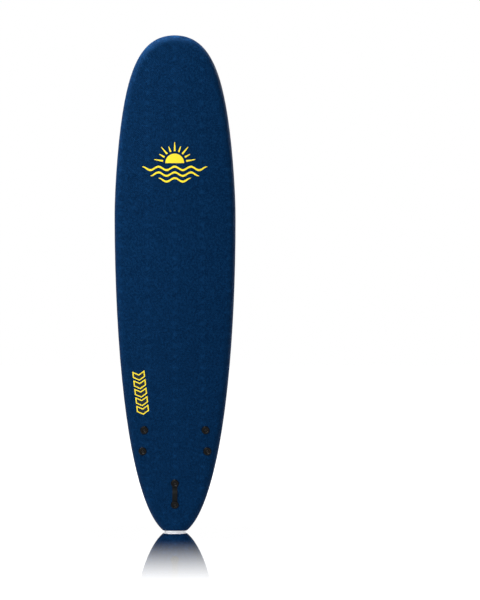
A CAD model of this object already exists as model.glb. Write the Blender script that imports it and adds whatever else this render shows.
import math

import bpy
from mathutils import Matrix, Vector


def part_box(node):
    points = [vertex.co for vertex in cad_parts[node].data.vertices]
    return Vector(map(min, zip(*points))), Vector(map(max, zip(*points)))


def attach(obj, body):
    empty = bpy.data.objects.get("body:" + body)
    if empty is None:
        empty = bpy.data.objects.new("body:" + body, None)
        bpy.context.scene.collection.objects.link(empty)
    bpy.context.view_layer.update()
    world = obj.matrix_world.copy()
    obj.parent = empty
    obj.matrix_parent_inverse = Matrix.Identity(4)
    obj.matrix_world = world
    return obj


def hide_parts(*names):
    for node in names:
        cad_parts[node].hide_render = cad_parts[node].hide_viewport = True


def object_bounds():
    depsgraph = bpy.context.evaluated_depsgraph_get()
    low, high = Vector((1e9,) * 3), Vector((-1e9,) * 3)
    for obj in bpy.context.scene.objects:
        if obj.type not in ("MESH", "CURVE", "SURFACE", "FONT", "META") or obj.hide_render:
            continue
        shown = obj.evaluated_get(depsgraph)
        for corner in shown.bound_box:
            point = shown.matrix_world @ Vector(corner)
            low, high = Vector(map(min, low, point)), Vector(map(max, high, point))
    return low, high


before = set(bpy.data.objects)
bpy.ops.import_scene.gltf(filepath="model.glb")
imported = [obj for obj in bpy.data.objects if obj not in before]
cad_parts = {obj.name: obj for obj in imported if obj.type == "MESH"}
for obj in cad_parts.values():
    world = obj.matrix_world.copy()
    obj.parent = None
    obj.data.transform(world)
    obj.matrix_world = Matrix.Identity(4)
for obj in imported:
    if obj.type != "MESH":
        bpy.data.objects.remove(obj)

cad_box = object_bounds()
bpy.ops.object.select_all(action="DESELECT")


# ---- core: three blocks of bead foam ----
# The core is white bead foam, cut from a moulded blank with a hot wire and glued up
# with the stringers between its three blocks. The skins hide all of it.
beads_to_metre = 260.0
bead_shade = (0.72, 0.72, 0.7, 1)
bead_white = (0.92, 0.92, 0.9, 1)
seam_width, seam_softness = 0.12, 0.1  # as shares of a bead
seam_contrast = 8.0
seam_depth = 0.002


def put(tree, kind, values=None, **settings):
    """Adds a shader node: settings are its own options, values fill or link its inputs."""
    node = tree.nodes.new("ShaderNode" + kind)
    for name, value in settings.items():
        setattr(node, name, value)
    for socket, value in (values or {}).items():
        if isinstance(value, bpy.types.NodeSocket):
            tree.links.new(value, node.inputs[socket])
        else:
            node.inputs[socket].default_value = value
    return node


def calc(tree, operation, *values):
    """The result of one sum, product or other function of numbers or sockets."""
    return put(tree, "Math", dict(enumerate(values)), operation=operation).outputs[0]


def blended(tree, share, first, second):
    """A colour between two others."""
    mix = put(tree, "Mix", {0: share, 6: first, 7: second}, data_type="RGBA")
    return mix.outputs[2]


def bumped(tree, height, depth):
    """A normal that follows the height, with the depth in metres."""
    return put(tree, "Bump", {"Height": height, "Distance": depth, "Strength": 1.0}).outputs[0]


def new_finish(name, roughness, **sockets):
    """A material, its node tree, its shader and the place on the piece."""
    material = bpy.data.materials.new(name)
    material.use_nodes = True
    tree = material.node_tree
    shader = tree.nodes["Principled BSDF"]
    shader.inputs["Roughness"].default_value = roughness
    for socket, value in sockets.items():
        shader.inputs[socket.replace("_", " ")].default_value = value
    place = put(tree, "TexCoord").outputs["Object"]
    return material, tree, shader, place


def feed(shader, **sources):
    """Links what varies over a piece into the shader's sockets."""
    for socket, source in sources.items():
        shader.id_data.links.new(source, shader.inputs[socket.replace("_", " ")])


def dress(node, material):
    """Gives a frame part its finish."""
    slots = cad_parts[node].data.materials
    slots.clear()
    slots.append(material)


bead_foam, tree, shader, place = new_finish("bead_foam", 0.8)
beads = put(tree, "TexVoronoi", {"Vector": place, "Scale": beads_to_metre},
            feature="DISTANCE_TO_EDGE")
seam = calc(tree, "SMOOTH_MIN", beads.outputs["Distance"], seam_width, seam_softness)
tint = calc(tree, "MULTIPLY", seam, seam_contrast)
feed(shader, Base_Color=blended(tree, tint, bead_shade, bead_white),
     Normal=bumped(tree, seam, seam_depth))
for block in ("core_left", "core_center", "core_right"):
    dress(block, bead_foam)

# ---- stringers: two plywood strips ----
# Each stringer is a strip of thin plywood on edge, glued between two blocks of the core.
# Its grain runs along the board.
grain_scale = (900.0, 60.0, 3.0)
grain_brown = (0.32, 0.19, 0.08, 1)
grain_pale = (0.72, 0.52, 0.3, 1)
grain_depth = 0.0004

plywood, tree, shader, place = new_finish("stringer_plywood", 0.65)
along = put(tree, "Mapping", {"Vector": place, "Scale": grain_scale}).outputs[0]
grain = put(tree, "TexNoise", {"Vector": along, "Scale": 1.0, "Detail": 6.0}).outputs["Fac"]
feed(shader, Base_Color=blended(tree, grain, grain_brown, grain_pale),
     Normal=bumped(tree, grain, grain_depth))
for strip in ("stringer_left", "stringer_right"):
    dress(strip, plywood)

# ---- bottom slick: the white sheet ----
# The slick is a hard, smooth polyethylene sheet, welded to the core with heat. It shows
# as a white border round the print, faintly rippled and with fine scuffs along the board.
slow_share = 0.05  # the slow patches' scale, as a share of the cells'
ripples_to_metre = 90.0
ripple_unevenness = 3.0
ripple_depth = 0.00006
scuff_scale = (420.0, 420.0, 9.0)
scuff_roughness = (0.2, 0.42)
slick_shade = (0.80, 0.83, 0.86, 1)
slick_white = (0.9, 0.92, 0.94, 1)

grain_group = bpy.data.node_groups.new("moulded_grain", "ShaderNodeTree")
for socket, kind in (("Place", "Vector"), ("Cells", "Float"), ("Unevenness", "Float")):
    grain_group.interface.new_socket(socket, in_out="INPUT", socket_type="NodeSocket" + kind)
for socket in ("Height", "Patches"):
    grain_group.interface.new_socket(socket, in_out="OUTPUT", socket_type="NodeSocketFloat")
given = grain_group.nodes.new("NodeGroupInput").outputs
made = grain_group.nodes.new("NodeGroupOutput").inputs
pebbles = put(grain_group, "TexVoronoi", {"Vector": given["Place"], "Scale": given["Cells"]},
              feature="SMOOTH_F1")
slow_scale = calc(grain_group, "MULTIPLY", given["Cells"], slow_share)
slow = put(grain_group, "TexNoise",
           {"Vector": given["Place"], "Scale": slow_scale, "Detail": 4.0}).outputs["Fac"]
swell = calc(grain_group, "MULTIPLY", slow, given["Unevenness"])
grain_group.links.new(calc(grain_group, "ADD", pebbles.outputs["Distance"], swell), made["Height"])
grain_group.links.new(slow, made["Patches"])


def grained(tree, place, cells, unevenness):
    """The moulded grain's height and its slow patches, with that many cells to the metre."""
    node = put(tree, "Group", node_tree=grain_group)
    tree.links.new(place, node.inputs["Place"])
    node.inputs["Cells"].default_value = cells
    node.inputs["Unevenness"].default_value = unevenness
    return node.outputs["Height"], node.outputs["Patches"]


def spread(tree, value, low, high, start=0.0, end=1.0, **settings):
    """A value that goes from low to high while another goes from start to end."""
    return put(tree, "MapRange", {"Value": value, "From Min": start, "From Max": end,
                                  "To Min": low, "To Max": high}, **settings).outputs[0]


slick_sheet, tree, shader, place = new_finish("slick_sheet", 0.3, Specular_IOR_Level=0.35)
ripple, patches = grained(tree, place, ripples_to_metre, ripple_unevenness)
scuff_place = put(tree, "Mapping", {"Vector": place, "Scale": scuff_scale}).outputs[0]
scuffs = put(tree, "TexNoise",
             {"Vector": scuff_place, "Scale": 1.0, "Detail": 3.0}).outputs["Fac"]
feed(shader, Base_Color=blended(tree, patches, slick_shade, slick_white),
     Roughness=spread(tree, scuffs, *scuff_roughness),
     Normal=bumped(tree, ripple, ripple_depth))
dress("bottom_slick", slick_sheet)

# ---- printed film: silver stripes on black ----
# The film is printed from behind and laminated into the slick, so it lies under a thin gloss.
# Its stripes run up from rail to rail at about 50 degrees, fork and taper, and fade
# towards the rails, and the whole print turns pale towards the nose.
stripe_pitch = 0.043
stripe_lean = math.radians(52)
rail_bend = 0.62  # how much steeper the stripes run towards one rail
bends = ((3.0, 0.17), (11.0, 0.018))  # how many to the metre, and how far they push a stripe
forks_across, forks_along, fork_strength = 21.0, 4.6, 4.4
stripe_edge = (0.18, 0.36)  # where the wave turns from ink to silver
rail_fade = (1.0, 0.17, 0.2, 1.0)  # silver at full, then at the rail, and from where to where
nose_glow_span = (0.7, 0.97)
nose_glow = 0.62
print_depth = 0.00005
print_roughness = (0.2, 0.36)
board_top = cad_box[1].z

# colours from the tail, at 0, to the nose, at 1
silver_stops = (
    (0.0, (0.28, 0.27, 0.32)), (0.45, (0.27, 0.29, 0.34)), (0.72, (0.4, 0.45, 0.52)),
    (0.9, (0.72, 0.77, 0.87)), (1.0, (0.82, 0.85, 0.95)))
ink_stops = (
    (0.0, (0.001, 0.0012, 0.0015)), (0.5, (0.0015, 0.0025, 0.0035)),
    (0.72, (0.008, 0.015, 0.021)), (0.88, (0.03, 0.052, 0.067)), (1.0, (0.17, 0.22, 0.27)))

# half of the film's width, from tail to nose, as shares of the board's greatest half width
film_tail, film_nose = (0.0, 0.1), (1.0, 0.25)
film_outline = ((0.06, 0.34), (0.18, 0.62), (0.35, 0.84), (0.62, 0.95), (0.85, 0.8), (0.95, 0.55))

print_ink, tree, shader, place = new_finish("printed_film", 0.28, Specular_IOR_Level=0.03)
bent = place
for bends_to_metre, push in bends:
    bend = put(tree, "TexNoise", {"Vector": place, "Scale": bends_to_metre, "Detail": 1.0})
    bend = put(tree, "VectorMath", {0: bend.outputs["Color"], 1: (0.5, 0.5, 0.5)},
               operation="SUBTRACT").outputs[0]
    bend = put(tree, "VectorMath", {0: bend, "Scale": push}, operation="SCALE").outputs[0]
    bent = put(tree, "VectorMath", {0: bent, 1: bend}, operation="ADD").outputs[0]
bent = put(tree, "SeparateXYZ", {"Vector": bent})
across, up = bent.outputs["X"], bent.outputs["Z"]
square = calc(tree, "MULTIPLY", calc(tree, "MULTIPLY", across, across), -rail_bend)
phase = calc(tree, "MULTIPLY_ADD", across, math.sin(stripe_lean), square)
phase = calc(tree, "MULTIPLY_ADD", up, math.cos(stripe_lean), phase)
run = calc(tree, "MULTIPLY", up, math.sin(stripe_lean))
run = calc(tree, "MULTIPLY_ADD", across, -math.cos(stripe_lean), run)
wave = calc(tree, "SINE", calc(tree, "MULTIPLY", phase, math.tau / stripe_pitch))
fork_place = put(tree, "CombineXYZ", {
    "X": calc(tree, "MULTIPLY", phase, forks_across),
    "Y": calc(tree, "MULTIPLY", run, forks_along)}).outputs[0]
forks = put(tree, "TexNoise", {"Vector": fork_place, "Scale": 1.0, "Detail": 0.0}).outputs["Fac"]
stripes = calc(tree, "MULTIPLY_ADD", calc(tree, "SUBTRACT", forks, 0.5), fork_strength, wave)
stripes = spread(tree, stripes, 0.0, 1.0, *stripe_edge)


def faded(tree, share, stops):
    """A colour that changes along the board, through the given stops."""
    ramp = put(tree, "ValToRGB", {"Fac": share})
    elements = ramp.color_ramp.elements
    while len(elements) < len(stops):
        elements.new(0.5)
    for element, (position, colour) in zip(elements, stops):
        element.position = position
        element.color = (*colour, 1)
    return ramp.outputs[0]


spot = put(tree, "SeparateXYZ", {"Vector": place})
height_share = calc(tree, "DIVIDE", spot.outputs["Z"], board_top)
silver = faded(tree, height_share, silver_stops)
ink = faded(tree, height_share, ink_stops)

outline = put(tree, "FloatCurve", {"Factor": 1.0, "Value": height_share})
curve = outline.mapping.curves[0]
for share, width in film_outline:
    curve.points.new(share, width)
curve.points[0].location = film_tail
curve.points[-1].location = film_nose
outline.mapping.update()
half_width = calc(tree, "MULTIPLY", outline.outputs[0], cad_box[1].x)
rail_share = calc(tree, "DIVIDE", calc(tree, "ABSOLUTE", spot.outputs["X"]), half_width)
strength = spread(tree, rail_share, *rail_fade, interpolation_type="SMOOTHSTEP")
near_nose = spread(tree, height_share, 0.0, 1.0, *nose_glow_span)
strength = calc(tree, "MAXIMUM", strength, calc(tree, "MULTIPLY", near_nose, nose_glow))
silver = blended(tree, strength, (0, 0, 0, 1), silver)
ripple, patches = grained(tree, place, ripples_to_metre, ripple_unevenness)
feed(shader, Base_Color=blended(tree, stripes, ink, silver),
     Roughness=spread(tree, patches, *print_roughness),
     Normal=bumped(tree, ripple, print_depth))
dress("bottom_print_film", print_ink)

# ---- deck skin: closed-cell foam ----
# The navy foam skin covers the deck and wraps round the rails to the slick's edge. It is
# laminated hot and embossed by a roller: fine crossed diagonals over a pebbled grain, with
# a faint paler mark where the roller's pattern repeats.
emboss_pitch = 0.009
emboss_depth = 0.0012
mark_pitch_across = 0.134
mark_pitch_up = 0.054
foam_grain = (420.0, 1.0)  # cells to the metre, and their unevenness
foam_roughness = (0.62, 0.88)
foam_brightness = 0.62
foam_shade = (0.0003, 0.0094, 0.0366, 1)
foam_navy = (0.0028, 0.0268, 0.0875, 1)

deck_foam, tree, shader, place = new_finish(
    "deck_foam", 0.75, Specular_IOR_Level=0.08, Specular_Tint=(0.15, 0.6, 1.0, 1))
spot = put(tree, "SeparateXYZ", {"Vector": place})
x, z = spot.outputs["X"], spot.outputs["Z"]
rising, falling = (
    calc(tree, "SINE", calc(tree, "MULTIPLY", calc(tree, way, x, z), math.tau / emboss_pitch))
    for way in ("ADD", "SUBTRACT"))
crossed = calc(tree, "MAXIMUM", rising, falling)
pebble = grained(tree, place, *foam_grain)[0]
blotches = put(tree, "TexNoise", {"Vector": place, "Scale": 210.0, "Detail": 3.0}).outputs["Fac"]
mottle = put(tree, "TexNoise", {"Vector": place, "Scale": 105.0, "Detail": 1.0}).outputs["Fac"]
marks = []
for value, pitch, sharpness in ((x, mark_pitch_across, 14.0), (z, mark_pitch_up, 3.0)):
    turn = calc(tree, "COSINE", calc(tree, "MULTIPLY", value, math.tau / pitch))
    marks.append(calc(tree, "POWER", calc(tree, "MULTIPLY_ADD", turn, 0.5, 0.5), sharpness))
light = foam_brightness
for source, weight in (
    (calc(tree, "SUBTRACT", blotches, 0.5), 1.8),
    (calc(tree, "SUBTRACT", mottle, 0.5), 1.1),
    (crossed, 0.2),
    (pebble, -0.45),
    (calc(tree, "MULTIPLY", *marks), 0.4),
):
    light = calc(tree, "MULTIPLY_ADD", source, weight, light)
height = calc(tree, "MULTIPLY_ADD", crossed, 0.3, calc(tree, "MULTIPLY", pebble, -1.0))
feed(shader, Base_Color=blended(tree, light, foam_shade, foam_navy),
     Roughness=spread(tree, blotches, *foam_roughness),
     Normal=bumped(tree, height, emboss_depth))
dress("deck_foam_skin", deck_foam)

# ---- tail block: dense white foam ----
# The squared tail is closed by a block of dense moulded foam, bonded across both skins,
# which takes the knocks when the board is stood up.
tail_grain, tail_depth = (700.0, 1.5), 0.0003
tail_shade = (0.74, 0.76, 0.8, 1)
tail_white = (0.86, 0.88, 0.91, 1)

tail_foam, tree, shader, place = new_finish("tail_foam", 0.6)
pebble, patches = grained(tree, place, *tail_grain)
feed(shader, Base_Color=blended(tree, patches, tail_shade, tail_white),
     Normal=bumped(tree, pebble, tail_depth))
dress("tail_block", tail_foam)

# ---- fin boxes: glass-filled nylon ----
# Three boxes are moulded in black glass-filled nylon and set flush in the bottom. The
# fibres leave a fine dull grain, polished a little where fins have been pushed in.
box_names = ("left", "right", "center")
box_grain, box_depth = (1500.0, 2.0), 0.00012
box_roughness = (0.32, 0.6)
box_shade = (0.002, 0.0045, 0.0052, 1)
box_worn = (0.009, 0.0145, 0.016, 1)

box_nylon, tree, shader, place = new_finish("box_nylon", 0.45, Specular_IOR_Level=0.07)
pebble, patches = grained(tree, place, *box_grain)
feed(shader, Base_Color=blended(tree, patches, box_shade, box_worn),
     Roughness=spread(tree, patches, *box_roughness),
     Normal=bumped(tree, pebble, box_depth))
for box_name in box_names:
    dress("fin_box_" + box_name, box_nylon)

# ---- brass inserts ----
# A threaded brass insert is moulded into each boss of a box, for the bolt from the deck.
# Fine rings from turning run round it.
end_names = ("front", "rear")
turning_scale, turning_depth = (40.0, 5000.0, 40.0), 0.0001
brass_shade = (0.5, 0.34, 0.1, 1)
brass_bright = (0.8, 0.62, 0.28, 1)

brass, tree, shader, place = new_finish("insert_brass", 0.35, Metallic=1.0)
turning = put(tree, "Mapping", {"Vector": place, "Scale": turning_scale}).outputs[0]
rings = put(tree, "TexNoise", {"Vector": turning, "Scale": 1.0}).outputs["Fac"]
feed(shader, Base_Color=blended(tree, rings, brass_shade, brass_bright),
     Normal=bumped(tree, rings, turning_depth))
for box_name in box_names:
    for end_name in end_names:
        dress(f"brass_insert_{box_name}_{end_name}", brass)

# ---- clamping screws: bright stainless steel ----
# Two headless screws lean into each slot and clamp the fin's base. Their sockets show
# as small bright spots.
scratch_scale = 2600.0
steel_roughness = (0.18, 0.4)
steel_shade = (0.5, 0.5, 0.52, 1)
steel_bright = (0.82, 0.82, 0.84, 1)

bright_steel, tree, shader, place = new_finish("bright_steel", 0.25, Metallic=1.0)
scratches = put(tree, "TexNoise",
                {"Vector": place, "Scale": scratch_scale, "Detail": 3.0}).outputs["Fac"]
feed(shader, Base_Color=blended(tree, scratches, steel_shade, steel_bright),
     Roughness=spread(tree, scratches, *steel_roughness))
for box_name in box_names:
    for end_name in end_names:
        dress(f"grub_screw_{box_name}_{end_name}", bright_steel)

# ---- deck plugs, their gaskets and bolts ----
# Each plug is a black nylon moulding with a rounded rim and a recessed middle, pulled down
# on the deck by a black coated bolt with a hexagon socket. The side plugs sit on rubber gaskets.
plug_grain, plug_depth = (1100.0, 2.5), 0.00008
plug_roughness = (0.16, 0.32)
plug_black = (0.0004, 0.0007, 0.001, 1)
plug_worn = (0.0022, 0.003, 0.004, 1)
coating_grain, coating_depth = (2400.0, 1.0), 0.00005
coating_black = (0.003, 0.0035, 0.004, 1)
coating_worn = (0.016, 0.017, 0.019, 1)
rubber_grain, rubber_depth = (900.0, 1.0), 0.0001
rubber_black = (0.01, 0.01, 0.011, 1)
rubber_worn = (0.03, 0.03, 0.032, 1)

plug_nylon, tree, shader, place = new_finish("plug_nylon", 0.2, Specular_IOR_Level=0.1)
pebble, patches = grained(tree, place, *plug_grain)
feed(shader, Base_Color=blended(tree, patches, plug_black, plug_worn),
     Roughness=spread(tree, patches, *plug_roughness),
     Normal=bumped(tree, pebble, plug_depth))

coated_steel, tree, shader, place = new_finish(
    "coated_steel", 0.35, Metallic=0.15, Specular_IOR_Level=0.2)
pebble, patches = grained(tree, place, *coating_grain)
feed(shader, Base_Color=blended(tree, patches, coating_black, coating_worn),
     Normal=bumped(tree, pebble, coating_depth))

gasket_rubber, tree, shader, place = new_finish("gasket_rubber", 0.8)
pebble, patches = grained(tree, place, *rubber_grain)
feed(shader, Base_Color=blended(tree, patches, rubber_black, rubber_worn),
     Normal=bumped(tree, pebble, rubber_depth))
for box_name in box_names:
    for end_name in end_names:
        dress(f"deck_plug_{box_name}_{end_name}", plug_nylon)
        dress(f"through_bolt_{box_name}_{end_name}", coated_steel)
        if box_name != "center":
            dress(f"plug_gasket_{box_name}_{end_name}", gasket_rubber)

# ---- leash strap: woven webbing ----
# The strap is black nylon webbing, cut square with a hot knife and clamped under the two
# center plugs, with an arch between them that a leash's cord is looped under. Its ribs
# and picks are woven in relief, and its edges are rounded by the selvedge.
strap_low, strap_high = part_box("leash_strap")
strap_width = strap_high.x - strap_low.x
strap_length = strap_high.z - strap_low.z
end_margin = 0.0008
webbing_thickness = 0.0017
rib_pitch = 0.00217
pick_pitch = 0.0018
relief = 0.0004
selvedge = 0.0012
selvedge_drop = 0.0006
strap_columns, strap_rows = 60, 216
clear_of_board = 0.03
thread_scale, thread_depth = (3200.0, 900.0, 1400.0), 0.00012
webbing_black = (0.0008, 0.0012, 0.0016, 1)
webbing_worn = (0.0095, 0.012, 0.0135, 1)


def add_sheet(name, width, length, columns, rows, middle):
    """A flat sheet that faces the deck's side, divided into columns and rows."""
    bpy.ops.mesh.primitive_grid_add(
        x_subdivisions=columns, y_subdivisions=rows, size=1, location=middle,
        rotation=(math.pi / 2, 0, 0))
    piece = bpy.context.object
    piece.name = piece.data.name = name
    piece.scale = (width, length, 1)
    bpy.ops.object.transform_apply(location=True, rotation=True, scale=True)
    return piece


def finish_with(piece, kind, **settings):
    """Adds a modifier to a piece and applies it."""
    modifier = piece.modifiers.new(kind.lower(), kind)
    for name, value in settings.items():
        setattr(modifier, name, value)
    bpy.ops.object.select_all(action="DESELECT")
    bpy.context.view_layer.objects.active = piece
    piece.select_set(True)
    bpy.ops.object.modifier_apply(modifier=modifier.name)


def lay_on(piece, node, lift):
    """Presses a sheet back on a frame part, seen from the deck's side."""
    finish_with(
        piece, "SHRINKWRAP", target=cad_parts[node], wrap_method="PROJECT",
        use_project_y=True, use_positive_direction=True, use_negative_direction=False,
        wrap_mode="ABOVE_SURFACE", offset=lift)


strap = add_sheet(
    "strap_webbing", strap_width - 2 * end_margin, strap_length - 2 * end_margin,
    strap_columns, strap_rows,
    (0, strap_low.y - clear_of_board, (strap_low.z + strap_high.z) / 2))
lay_on(strap, "leash_strap", 0.0)
bpy.ops.object.mode_set(mode="EDIT")
bpy.ops.mesh.select_all(action="DESELECT")
bpy.ops.object.mode_set(mode="OBJECT")
for vertex in strap.data.vertices:  # what found no strap behind it is over a bolt's hole
    vertex.select = vertex.co.y < strap_low.y - clear_of_board / 2
bpy.ops.object.mode_set(mode="EDIT")
bpy.ops.mesh.delete(type="VERT")
bpy.ops.object.mode_set(mode="OBJECT")
for vertex in strap.data.vertices:
    rib = math.cos(math.tau * vertex.co.x / rib_pitch)
    pick = math.cos(math.tau * vertex.co.z / pick_pitch)
    edge = max(0.0, abs(vertex.co.x) - strap_width / 2 + selvedge) / selvedge
    vertex.co.y += relief * (1 - rib * pick) / 2 + selvedge_drop * edge**2
finish_with(strap, "SOLIDIFY", thickness=webbing_thickness, offset=-1.0)
bpy.ops.object.mode_set(mode="EDIT")
bpy.ops.mesh.select_all(action="SELECT")
bpy.ops.mesh.normals_make_consistent(inside=False)
bpy.ops.object.mode_set(mode="OBJECT")
bpy.ops.object.shade_smooth_by_angle(angle=math.radians(50))

webbing, tree, shader, place = new_finish("strap_webbing", 0.6, Specular_IOR_Level=0.06)
threads = put(tree, "Mapping", {"Vector": place, "Scale": thread_scale}).outputs[0]
fuzz = put(tree, "TexNoise", {"Vector": threads, "Scale": 1.0, "Detail": 2.0}).outputs["Fac"]
spot = put(tree, "SeparateXYZ", {"Vector": place}).outputs
ribs = calc(tree, "COSINE", calc(tree, "MULTIPLY", spot["X"], math.tau / rib_pitch))
picks = calc(tree, "COSINE", calc(tree, "MULTIPLY", spot["Z"], math.tau / pick_pitch))
crest = calc(tree, "MULTIPLY_ADD", calc(tree, "MULTIPLY", ribs, picks), 0.5, fuzz)
feed(shader, Base_Color=blended(tree, crest, webbing_black, webbing_worn),
     Normal=bumped(tree, fuzz, thread_depth))
strap.data.materials.append(webbing)
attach(strap, "board")
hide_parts("leash_strap")

# ---- deck emblem: a half sun over waves ----
# The emblem is cut from yellow film and pressed hot on the foam, so it stands a hair proud
# of the deck and follows its crown. It is a half sun with nine rays over three waves.
emblem_height = 1.813
film_lift = 0.0003
film_thickness = 0.0004
film_grain_depth = 0.0003
film_cell = 0.012
sun_radius = 0.046
sun_sides = 64
ray_inner, ray_outer, ray_short = 0.058, 0.102, 0.086
ray_width = 0.009
ray_taper = 0.35
ray_count = 9
first_ray, ray_fan = 10, 160  # degrees
wave_band = 0.0095
wave_swing = 0.0085
wave_length = 0.0795
wave_spans = (0.318, 0.2385, 0.159)
wave_drop = 0.028
first_wave = -0.026
wave_tip = 0.25
wave_columns = 60
yellow_shade = (0.72, 0.55, 0.012, 1)
yellow_bright = (0.9, 0.72, 0.03, 1)
deck_front = cad_box[0].y - clear_of_board

bpy.ops.mesh.primitive_circle_add(
    vertices=sun_sides, radius=sun_radius, fill_type="NGON",
    location=(0, deck_front, emblem_height), rotation=(math.pi / 2, 0, 0))
sun = bpy.context.object
bpy.ops.object.transform_apply(location=True, rotation=True, scale=True)
bpy.ops.object.mode_set(mode="EDIT")
bpy.ops.mesh.select_all(action="SELECT")
bpy.ops.mesh.bisect(plane_co=(0, 0, emblem_height), plane_no=(0, 0, 1), clear_inner=True)
bpy.ops.object.mode_set(mode="OBJECT")
parts = [sun]
for index in range(ray_count):
    lean = math.radians(first_ray + ray_fan * index / (ray_count - 1))
    reach = ray_outer if index % 2 == 0 else ray_short
    bpy.ops.mesh.primitive_plane_add(
        size=1, location=(0, deck_front, emblem_height), rotation=(math.pi / 2, 0, 0))
    ray = bpy.context.object
    bpy.ops.object.transform_apply(location=False, rotation=True, scale=False)
    for vertex in ray.data.vertices:
        outward = vertex.co.z > 0
        wide = ray_width * (ray_taper if outward else 1.0)
        away = reach if outward else ray_inner
        side = math.copysign(wide / 2, vertex.co.x)
        vertex.co = (away * math.cos(lean) + side * math.sin(lean), 0,
                     away * math.sin(lean) - side * math.cos(lean))
    bpy.ops.object.transform_apply(location=True, rotation=True, scale=True)
    parts.append(ray)
for index, span in enumerate(wave_spans):
    band = add_sheet("wave", span, wave_band, wave_columns, 2, (0, deck_front, 0))
    level = emblem_height + first_wave - index * wave_drop
    for vertex in band.data.vertices:
        taper = min(1.0, (span / 2 - abs(vertex.co.x)) / (wave_length / 4))
        vertex.co.z = vertex.co.z * (wave_tip + (1 - wave_tip) * taper)
        vertex.co.z += level + wave_swing * math.cos(math.tau * vertex.co.x / wave_length)
    parts.append(band)


def press_on_deck(parts, name, material=None):
    """Joins flat shapes to one film, divides it to follow the deck, and presses it on."""
    bpy.ops.object.select_all(action="DESELECT")
    for part in parts:
        part.select_set(True)
    bpy.context.view_layer.objects.active = parts[0]
    bpy.ops.object.join()
    film = bpy.context.object
    film.name = film.data.name = name
    corners = [vertex.co.copy() for vertex in film.data.vertices]
    bpy.ops.object.mode_set(mode="EDIT")
    for axis, direction in ((0, Vector((1, 0, 0))), (2, Vector((0, 0, 1)))):
        low, high = min(c[axis] for c in corners), max(c[axis] for c in corners)
        count = math.ceil((high - low) / film_cell)
        for step in range(1, count):
            level = low + (high - low) * step / count
            bpy.ops.mesh.select_all(action="SELECT")
            bpy.ops.mesh.bisect(plane_co=level * direction, plane_no=direction)
    bpy.ops.object.mode_set(mode="OBJECT")
    lay_on(film, "deck_foam_skin", film_lift)
    bpy.ops.object.mode_set(mode="EDIT")
    bpy.ops.mesh.select_all(action="SELECT")
    bpy.ops.mesh.normals_make_consistent(inside=False)
    bpy.ops.object.mode_set(mode="OBJECT")
    if sum(polygon.normal.y for polygon in film.data.polygons) > 0:
        film.data.flip_normals()
    finish_with(film, "SOLIDIFY", thickness=film_thickness, offset=1.0)
    bpy.ops.object.shade_smooth_by_angle(angle=math.radians(40))
    if material:
        film.data.materials.clear()
        film.data.materials.append(material)
    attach(film, "board")


yellow_film, tree, shader, place = new_finish("yellow_film", 0.5, Specular_IOR_Level=0.3)
pebble, patches = grained(tree, place, *foam_grain)
feed(shader, Base_Color=blended(tree, patches, yellow_shade, yellow_bright),
     Normal=bumped(tree, pebble, film_grain_depth))
press_on_deck(parts, "deck_emblem", yellow_film)

# ---- stripe badge: a slanted column of chevrons ----
# The badge near the tail is pressed on like the emblem, in two colours of film: five
# chevrons in yellow outline with dark middles, in a column that leans with the rail.
badge_top, badge_foot = (-0.180, 0.793), (-0.155, 0.578)
chevron_count = 5
chevron_width = 0.060
chevron_height = 0.031
chevron_dip = 0.017
outline_width = 0.0052
dark_shade = (0.002, 0.006, 0.014, 1)
dark_navy = (0.006, 0.014, 0.03, 1)

dark_film, tree, shader, place = new_finish("dark_film", 0.5, Specular_IOR_Level=0.15)
pebble, patches = grained(tree, place, *foam_grain)
feed(shader, Base_Color=blended(tree, patches, dark_shade, dark_navy),
     Normal=bumped(tree, pebble, film_grain_depth))
badge_lean = math.atan2(badge_foot[0] - badge_top[0], badge_top[1] - badge_foot[1])
column_length = math.hypot(badge_foot[0] - badge_top[0], badge_top[1] - badge_foot[1])
chevron_pitch = (column_length - chevron_height - chevron_dip) / (chevron_count - 1)
parts = []
for index in range(chevron_count):
    chevron = add_sheet("chevron", chevron_width, chevron_height, 2, 1, (0, deck_front, 0))
    for film_colour in (yellow_film, dark_film):
        chevron.data.materials.append(film_colour)
    down = chevron_height / 2 + index * chevron_pitch
    for vertex in chevron.data.vertices:
        side = vertex.co.x
        level = vertex.co.z - down - chevron_dip * (1 - abs(side) / (chevron_width / 2))
        vertex.co.x = badge_top[0] + side * math.cos(badge_lean) - level * math.sin(badge_lean)
        vertex.co.z = badge_top[1] + level * math.cos(badge_lean) + side * math.sin(badge_lean)
    bpy.ops.object.mode_set(mode="EDIT")
    bpy.ops.mesh.select_all(action="SELECT")
    bpy.ops.mesh.inset(thickness=outline_width, use_boundary=True, use_even_offset=True)
    chevron.active_material_index = 1
    bpy.ops.object.material_slot_assign()
    bpy.ops.object.mode_set(mode="OBJECT")
    parts.append(chevron)
press_on_deck(parts, "deck_badge")

# ---- studio: a glossy white floor, soft lights and the camera ----
# The board stands on its tail on a polished white floor, against white, with a short
# reflection under it. A key lamp and a weak fill stand on the deck's side, a third lamp
# hangs above, and two light the bottom from behind.
camera_distance = 12.0
view_centre = (0.320, 0.0, 1.142)
view_height = 2.953
floor_size = 60.0
floor_grey = (0.3, 0.3, 0.3, 1)
white = (1, 1, 1, 1)
held_back = 0.58  # share of the floor's glow that doesn't reach the board
mirror_angles = (0.55, 0.88)  # from no reflection to a full one, as the view grazes the floor
mirror_reach = (0.35, 3.2)  # metres from the board, from a full reflection to none
lamp_aim = Vector((0, 0, 1.2))
sky_light = 0.22
sky_mirrored = (1.0, 0.3, 0.3, 0.8)  # at the horizon, then overhead, and from where to where

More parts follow.
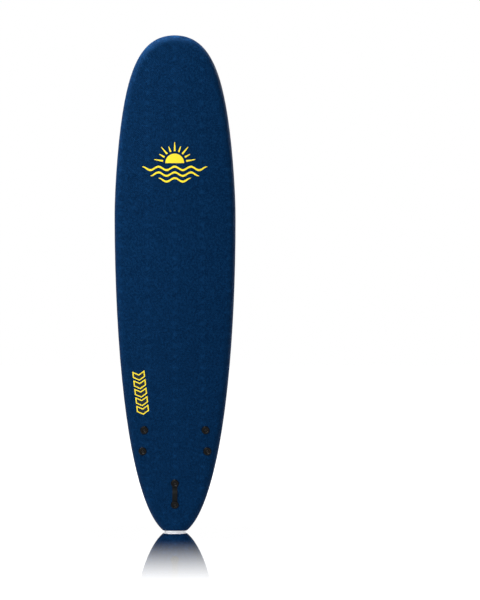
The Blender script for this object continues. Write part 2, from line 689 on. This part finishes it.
bpy.ops.mesh.primitive_grid_add(
    x_subdivisions=8, y_subdivisions=8, size=floor_size, location=(0, 0, 0))
floor = bpy.context.object
floor.name = "studio_floor"
bpy.ops.object.transform_apply(location=True, rotation=True, scale=True)
floor_white, tree, shader, place = new_finish("floor_white", 0.6, Specular_IOR_Level=0.0)
shader.inputs["Base Color"].default_value = floor_grey
shader.inputs["Emission Color"].default_value = white
onto_board = put(tree, "LightPath").outputs["Is Diffuse Ray"]
feed(shader, Emission_Strength=calc(tree, "MULTIPLY_ADD", onto_board, -held_back, 1.0))
facing = put(tree, "LayerWeight", {"Blend": 0.5}).outputs["Facing"]
grazing = spread(tree, facing, 0.0, 1.0, *mirror_angles, interpolation_type="SMOOTHSTEP")
away = put(tree, "VectorMath", {0: place}, operation="LENGTH").outputs["Value"]
near = spread(tree, away, 1.0, 0.0, *mirror_reach, interpolation_type="SMOOTHSTEP")
polish = calc(tree, "MULTIPLY", grazing, near)
gloss = put(tree, "BsdfAnisotropic", {"Color": white, "Roughness": 0.025})
both = put(tree, "MixShader", {0: polish, 1: shader.outputs[0], 2: gloss.outputs[0]})
tree.links.new(both.outputs[0], tree.nodes["Material Output"].inputs["Surface"])
floor.data.materials.append(floor_white)

# each lamp with its place, its diameter and its power in watts
for name, place_at, size, power in (
    ("key", (-3.4, -4.2, 5.2), 1.3, 400.0),
    ("top", (-0.9, -0.3, 4.6), 1.4, 260.0),
    ("fill", (-1.6, -6.2, 2.4), 3.0, 20.0),
    ("back_key", (4.4, 4.2, 3.8), 2.4, 420.0),
    ("back_fill", (-3.8, 5.0, 2.4), 3.0, 60.0),
):
    bpy.ops.object.light_add(type="AREA", location=place_at)
    lamp = bpy.context.object
    lamp.name = "studio_" + name
    lamp.data.shape = "DISK"
    lamp.data.size = size
    lamp.data.energy = power
    lamp.visible_camera = False
    lamp.rotation_euler = (lamp_aim - Vector(place_at)).to_track_quat("-Z", "Y").to_euler()

world = bpy.data.worlds.new("studio_white")
bpy.context.scene.world = world
world.use_nodes = True
tree = world.node_tree
background = tree.nodes["Background"]
toward = put(tree, "SeparateXYZ", {"Vector": put(tree, "TexCoord").outputs["Generated"]})
steepness = calc(tree, "ABSOLUTE", toward.outputs["Z"])
horizon = spread(tree, steepness, *sky_mirrored)
ray = put(tree, "LightPath").outputs
mirrored = calc(tree, "MULTIPLY", horizon, ray["Is Glossy Ray"])
shown = calc(tree, "MAXIMUM", mirrored, ray["Is Camera Ray"])
feed(background, Strength=calc(tree, "MAXIMUM", shown, sky_light))
background.inputs["Color"].default_value = white

bpy.ops.object.camera_add(
    location=(view_centre[0], -camera_distance, view_centre[2]), rotation=(math.pi / 2, 0, 0))
camera = bpy.context.object
camera.data.sensor_width = 36.0
camera.data.lens = camera.data.sensor_width * camera_distance / view_height
camera.data.clip_end = 200.0
bpy.context.scene.camera = camera
bpy.context.scene.view_settings.view_transform = "Standard"
